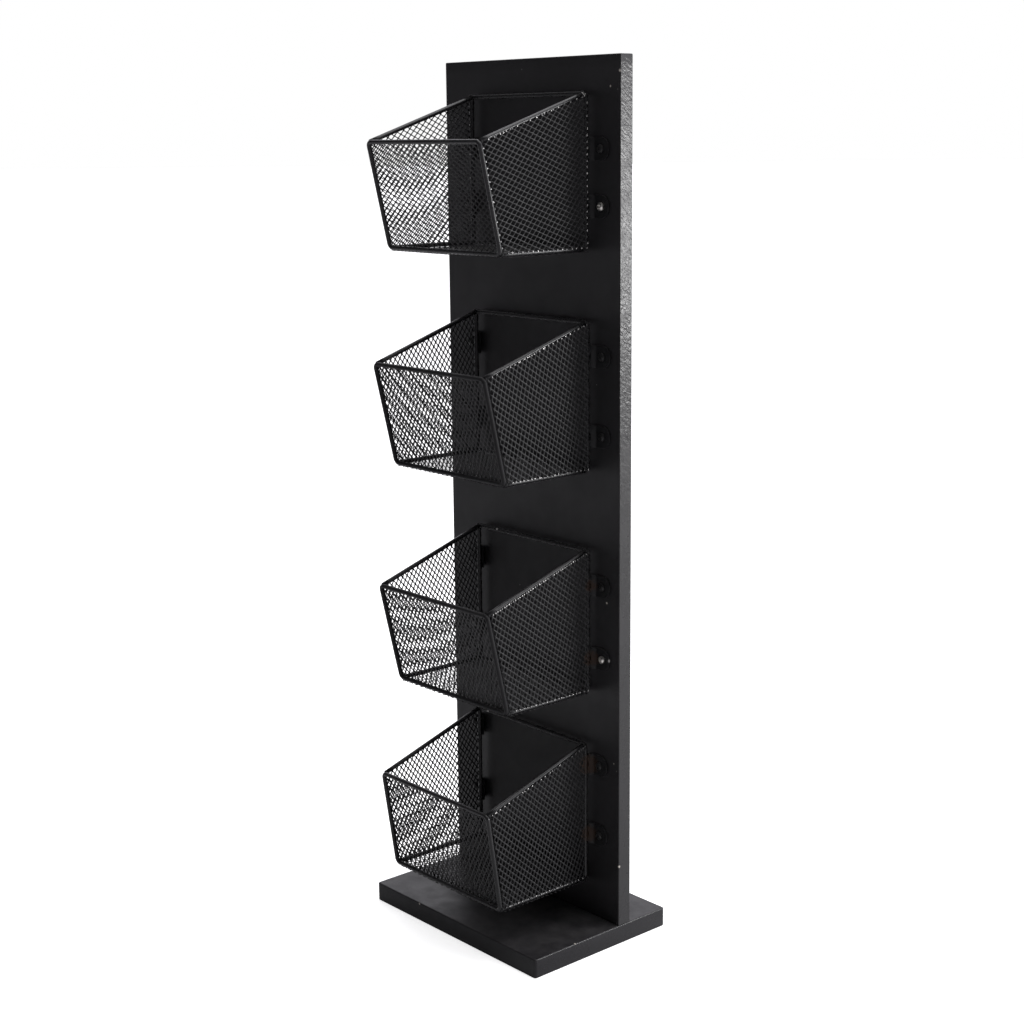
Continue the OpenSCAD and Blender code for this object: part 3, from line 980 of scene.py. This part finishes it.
upright_paint = board_paint("upright_paint", upright_lo, upright_hi, BOARD_BLACK, board_chips_at)
base_paint = board_paint("base_paint", base_lo, NO_RIPPLES, BASE_BLACK, base_chips_at)
wire_coat = coated_steel(
    "wire_coat", WIRE_BLACK, 0.22, 0.32, rust_at, wire_chips_at, Specular_IOR_Level=0.30)
dull_wire_coat = coated_steel(
    "dull_wire_coat", WIRE_BLACK, 0.46, 0.58, rust_at, Specular_IOR_Level=0.16)
mesh_coat = coated_steel(
    "mesh_coat", MESH_BLACK, 0.36, 0.48, rust_at, Specular_IOR_Level=0.28)
tip_coat = bare_metal(
    "strand_tip_steel", 1800.0, 260.0, (0.08, 0.08, 0.082, 1), (0.50, 0.49, 0.48, 1),
    (0.42, 0.58), 0.20, 0.32)
lug_coat = coated_steel(
    "lug_coat", LUG_BLACK, 0.38, 0.50, rust_at, lug_chips_at, Specular_IOR_Level=0.22)
screw_black = coated_steel("screw_black", SCREW_BLACK, 0.26, 0.38, Specular_IOR_Level=0.3)
screw_worn = bare_metal(
    "screw_worn", 2200.0, 350.0, (0.08, 0.075, 0.07, 1), (0.72, 0.70, 0.66, 1),
    (0.38, 0.5), 0.22, 0.42)
screw_zinc = bare_metal(
    "screw_zinc", 1800.0, 120.0, (0.48, 0.50, 0.54, 1), (0.66, 0.62, 0.50, 1),
    (0.0, 1.0), 0.28, 0.45)


# ---- building the stand ----

def build_boards():
    base = board(
        "base_board_painted", base_lo, base_hi, BASE_CORNER, base_paint, ["base_board"])
    bore_for_base_screws(base)
    board("upright_board_painted", upright_lo, upright_hi, UPRIGHT_CORNER, upright_paint,
          ["upright_board"])
    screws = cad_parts["base_screws"]
    screws.data.materials.clear()
    screws.data.materials.append(screw_zinc)


def build_frame(b, end, low_y, high_y, high_z, coat):
    """One closed rectangle of wire: upright at the back, leaning at the front."""
    form = Form()
    left, right = b.mid - b.half, b.mid + b.half
    corners = [(left, low_y, b.floor_z), (right, low_y, b.floor_z),
               (right, high_y, high_z), (left, high_y, high_z)]
    add_wire(form, bent_path(corners, WIRE_BEND), b.wire, closed=True)
    form.piece(f"{b.name}_{end}_frame_wire", [coat], "black_wire", [f"{b.name}_{end}_frame"])


def build_frames(b):
    build_frame(b, "back", b.back_y, b.back_y, b.back_z, wire_coat)
    front_coat = dull_wire_coat if b.number in DULL_FRONT else wire_coat
    build_frame(b, "front", b.low_y, b.rim_y, b.rim_z, front_coat)


def build_side_rails(b):
    """Four straight wires, each with its ends just inside the wires it is welded to."""
    form = Form()
    sink = b.wire * 0.6
    for sign in (1, -1):
        x = b.mid + sign * b.rail
        for back_z, front_y, front_z in ((b.floor_z, b.low_y, b.floor_z), (b.back_z, b.rim_y, b.rim_z)):
            back, front = Vector((x, b.back_y, back_z)), Vector((x, front_y, front_z))
            along = (front - back).normalized()
            back, front = back + along * sink, front - along * sink
            steps = 12
            add_wire(form, [back.lerp(front, s / steps) for s in range(steps + 1)], b.wire)
    form.piece(b.name + "_side_rail_wires", [wire_coat], "black_wire", [b.name + "_side_rails"])


def build_welds(b):
    """Beads where the rails and lugs are welded to the frames."""
    form = Form()
    for sign in (1, -1):
        rail_x = b.mid + sign * b.rail
        for y, z, inward in ((b.low_y, b.floor_z, 1), (b.rim_y, b.rim_z, 1),
                             (b.back_y, b.floor_z, -1), (b.back_y, b.back_z, -1)):
            for up in (1, -1):
                add_weld(form, (rail_x, y + inward * b.wire * 1.05, z + up * b.wire * 0.72),
                         (2.2 * MM, 0, 0), 1.3 * MM)
            add_weld(form, (rail_x + sign * b.wire * 0.7, y + inward * b.wire, z),
                     (0, 0, 2.0 * MM), 1.2 * MM)
        post_x = b.mid + sign * b.half
        for level in b.lug_levels:
            for edge in (-1, 1):
                spot = (post_x + sign * 2.3 * MM, b.back_y + b.wire * 0.9, level + edge * LUG_TIP * 0.55)
                add_weld(form, spot, (0, 0, 4.5 * MM), 1.1 * MM)
    form.piece(b.name + "_welds", [lug_coat], "black_lug")


def add_tip(form, centre, size=1.0):
    """A strand end pressed flat against the outside of a wire."""
    add_weld(form, centre, (TIP_THICK * size, 0, 0), TIP_RADIUS * size, rings=6)


def build_strand_tips(b, tips):
    """Flattened beads where the sheet's strands end on the rails.
    The top basket has them down its back posts and front posts too."""
    form = Form()
    for tip in tips:
        if b.rim_y < tip.y < b.back_y:
            add_tip(form, tip + Vector((math.copysign(TIP_OUT, tip.x - b.mid), 0, 0)))
    for sign in (1, -1) if b is top else ():
        outside = b.mid + sign * (b.half + b.wire + SHEET_THICK)
        foot = Vector((b.mid + sign * (b.half + b.wire * 0.9), b.low_y + b.wire * 0.7, b.floor_z))
        head = Vector((foot.x, b.rim_y + b.wire * 0.7, b.rim_z))
        for k in range(1, int((b.back_z - b.floor_z) / PITCH_ACROSS)):
            centre = Vector((outside, b.back_y, b.floor_z + k * PITCH_ACROSS))
            wander = 1.0 * MM * noise.noise(centre * 500)
            add_tip(form, centre + Vector((0, wander, 0)), 1.35)
        count = int((head - foot).length / PITCH_ACROSS)
        for k in range(1, count):
            add_tip(form, foot.lerp(head, k / count), 1.1)
    form.piece(b.name + "_strand_tips", [tip_coat], "black_mesh")


def place_sheet(name, sheet, replaced):
    """Turns a finished sheet into a piece."""
    mesh = bpy.data.meshes.new(name)
    sheet.to_mesh(mesh)
    sheet.free()
    mesh.materials.append(mesh_coat)
    mesh.polygons.foreach_set("use_smooth", [True] * len(mesh.polygons))
    place_piece(bpy.data.objects.new(name, mesh), replaced)


def build_mesh(b):
    wrap, tips = wrap_sheet(b)
    build_strand_tips(b, tips)
    panels = [b.name + "_mesh_left", b.name + "_mesh_front", b.name + "_mesh_right"]
    place_sheet(b.name + "_mesh_wrap", wrap, panels)
    place_sheet(b.name + "_mesh_floor", floor_sheet(b), [b.name + "_mesh_bottom"])


def build_lugs(b):
    lugs, screws = Form(), Form(seams=True)
    worn = {(second.name, 1, 0), (top.name, 1, 0)}
    for sign in (1, -1):
        for which, level in enumerate(b.lug_levels):
            add_lug(lugs, b, sign, level)
            slot = 1 if (b.name, sign, which) in worn else 0
            turn = 0.9 * b.number + 1.7 * which + 0.6 * sign   # no two recesses lie alike
            add_lug_screw(screws, b, sign, level, slot, turn)
    strips = lugs.piece(b.name + "_lug_strips", [lug_coat], "black_lug", [b.name + "_lugs"])
    heads = screws.piece(
        b.name + "_lug_screw_heads", [screw_black, screw_worn], "black_screw", [b.name + "_lug_screws"])
    sharpen(strips, METAL_SHARP)
    sharpen(heads, METAL_SHARP)


build_boards()
for basket in baskets:
    build_frames(basket)
    build_side_rails(basket)
    build_welds(basket)
    build_mesh(basket)
    build_lugs(basket)


# ---- floor, light and camera ----

ROOM_LIGHT = 0.10             # brightness of the surround in front of the stand
BACKDROP_LIGHT = 1.45         # brightness of the surround behind it
ROOM_TINT = (0.99, 0.975, 1.035, 1)
ROOM_TURN = (-0.2, 0.55)      # where the one turns into the other, as the Y of the direction
FLOOR_FRONT_SHADE = (0.75, 0.75, 0.75, 1)   # floor in front of the stand, as the stand sees it
FLOOR_FRONT = 0.0             # its glow there
FLOOR_BACK = 0.5              # and behind it
FLOOR_SEEN = 0.75             # glow of the floor as the camera sees it: a sheet lit from below
FLOOR_TURN = (-0.2, 0.4)      # metres along Y over which the one turns into the other
FLOOR_REACH = 60.0
FLOOR_STEPS = 12

CAMERA_PLACE = (1.4696, -1.2901, 0.8944)
CAMERA_AZIMUTH = 48.806       # degrees, from looking along +Y
CAMERA_DIP = 11.974
CAMERA_ROLL = -0.595
CAMERA_LENS = 62.9            # millimetres, on a sensor 36 mm wide
CAMERA_SENSOR = 36


def build_floor():
    shape = bmesh.new()
    bmesh.ops.create_grid(shape, x_segments=FLOOR_STEPS, y_segments=FLOOR_STEPS, size=FLOOR_REACH)
    mesh = bpy.data.meshes.new("studio_floor")
    shape.to_mesh(mesh)
    shape.free()
    mesh.materials.append(pale_floor_finish("pale_floor"))
    floor = bpy.data.objects.new("studio_floor", mesh)
    floor.location.z = base_lo.z
    bpy.context.scene.collection.objects.link(floor)


def build_world():
    """White surround behind the stand, darker room in front of it."""
    world = bpy.data.worlds.new("studio")
    bpy.context.scene.world = world
    world.use_nodes = True
    tree = world.node_tree
    tree.nodes.clear()
    direction = node(tree, "ShaderNodeTexCoord").outputs["Generated"]
    backward = node(tree, "ShaderNodeSeparateXYZ", {0: direction}).outputs["Y"]
    level = remap(tree, backward, ROOM_TURN[0], ROOM_TURN[1], ROOM_LIGHT, BACKDROP_LIGHT)
    seen = node(tree, "ShaderNodeBackground", {"Color": (1, 1, 1, 1), "Strength": 1.0})
    lit = node(tree, "ShaderNodeBackground", {"Color": ROOM_TINT, "Strength": level})
    looking = node(tree, "ShaderNodeLightPath").outputs["Is Camera Ray"]
    mixed = node(tree, "ShaderNodeMixShader", {0: looking, 1: lit.outputs[0], 2: seen.outputs[0]})
    node(tree, "ShaderNodeOutputWorld", {"Surface": mixed.outputs[0]})


def softbox(name, place, aim, width, height, watts):
    """A large rectangular area light turned towards a point."""
    lamp = bpy.data.lights.new(name, "AREA")
    lamp.shape = "RECTANGLE"
    lamp.size, lamp.size_y = width, height
    lamp.energy = watts
    light = bpy.data.objects.new(name, lamp)
    light.location = place
    light.rotation_euler = (Vector(aim) - Vector(place)).to_track_quat("-Z", "Y").to_euler()
    bpy.context.scene.collection.objects.link(light)


def build_lights():
    """Two softboxes at the back right, which the boards' right edges mirror, and one overhead."""
    softbox("softbox_edge", (2.396, 2.012, 0.64), (0.14, board_y, 0.77), 0.8, 0.36, 34)
    softbox("softbox_right", (2.5, 2.1, 1.1), (0, board_y, 0.6), 1.6, 2.0, 14)
    softbox("softbox_top", (0.6, 0.4, 3.0), (0, board_y, 0.5), 2.2, 2.2, 45)


def build_camera():
    """Three-quarter view from the stand's front right, a little above its middle."""
    azimuth, dip, roll = (math.radians(a) for a in (CAMERA_AZIMUTH, CAMERA_DIP, CAMERA_ROLL))
    ahead = Vector((-math.sin(azimuth) * math.cos(dip), math.cos(azimuth) * math.cos(dip), -math.sin(dip)))
    right = Vector((math.cos(azimuth), math.sin(azimuth), 0))
    up = right.cross(ahead)
    right, up = right * math.cos(roll) + up * math.sin(roll), up * math.cos(roll) - right * math.sin(roll)
    turn = Matrix((right, up, -ahead)).transposed()
    lens = bpy.data.cameras.new("camera")
    lens.sensor_width = CAMERA_SENSOR
    lens.lens = CAMERA_LENS
    lens.clip_start, lens.clip_end = 0.05, 50
    camera = bpy.data.objects.new("camera", lens)
    camera.matrix_world = Matrix.Translation(CAMERA_PLACE) @ turn.to_4x4()
    bpy.context.scene.collection.objects.link(camera)
    bpy.context.scene.camera = camera


build_floor()
build_world()
build_lights()
build_camera()
bpy.context.scene.view_settings.view_transform = "Standard"
